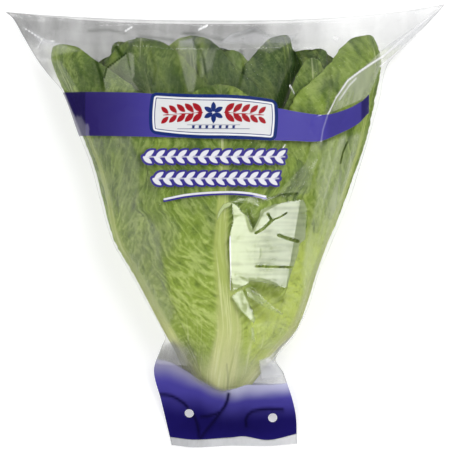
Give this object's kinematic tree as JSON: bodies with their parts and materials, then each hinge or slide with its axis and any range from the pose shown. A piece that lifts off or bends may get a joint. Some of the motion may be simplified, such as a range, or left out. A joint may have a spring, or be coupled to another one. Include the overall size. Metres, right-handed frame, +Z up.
{
  "type": "romaine lettuce head",
  "caption": "Romaine lettuce head lying in a clear open-mouthed film sleeve with a printed band and foot; cut stem, layered leaves and folded heart.",
  "frame": {"origin": "middle of the sleeve's footprint, on the surface that the head lies on", "axes": "+Z up, +Y along the head from the cut stem to the sleeve's open mouth, +X across it to the right"},
  "size_m": [0.377, 0.378, 0.0914],
  "materials": {
    "film": "gloss",
    "stem": "satin",
    "heart": "satin",
    "outer_leaf": "satin",
    "middle_leaf": "satin",
    "inner_leaf": "satin"
  },
  "bodies": {
    "root": {"film_sleeve": "film", "stem": "stem", "heart": "heart", "leaf_1_1": "outer_leaf", "leaf_1_2": "outer_leaf", "leaf_1_3": "outer_leaf", "leaf_1_4": "outer_leaf", "leaf_1_5": "outer_leaf", "leaf_2_1": "middle_leaf", "leaf_2_2": "middle_leaf", "leaf_2_3": "middle_leaf", "leaf_2_4": "middle_leaf", "leaf_2_5": "middle_leaf", "leaf_3_1": "inner_leaf", "leaf_3_2": "inner_leaf", "leaf_3_3": "inner_leaf", "leaf_3_4": "inner_leaf", "leaf_3_5": "inner_leaf"}
  },
  "joints": []
}
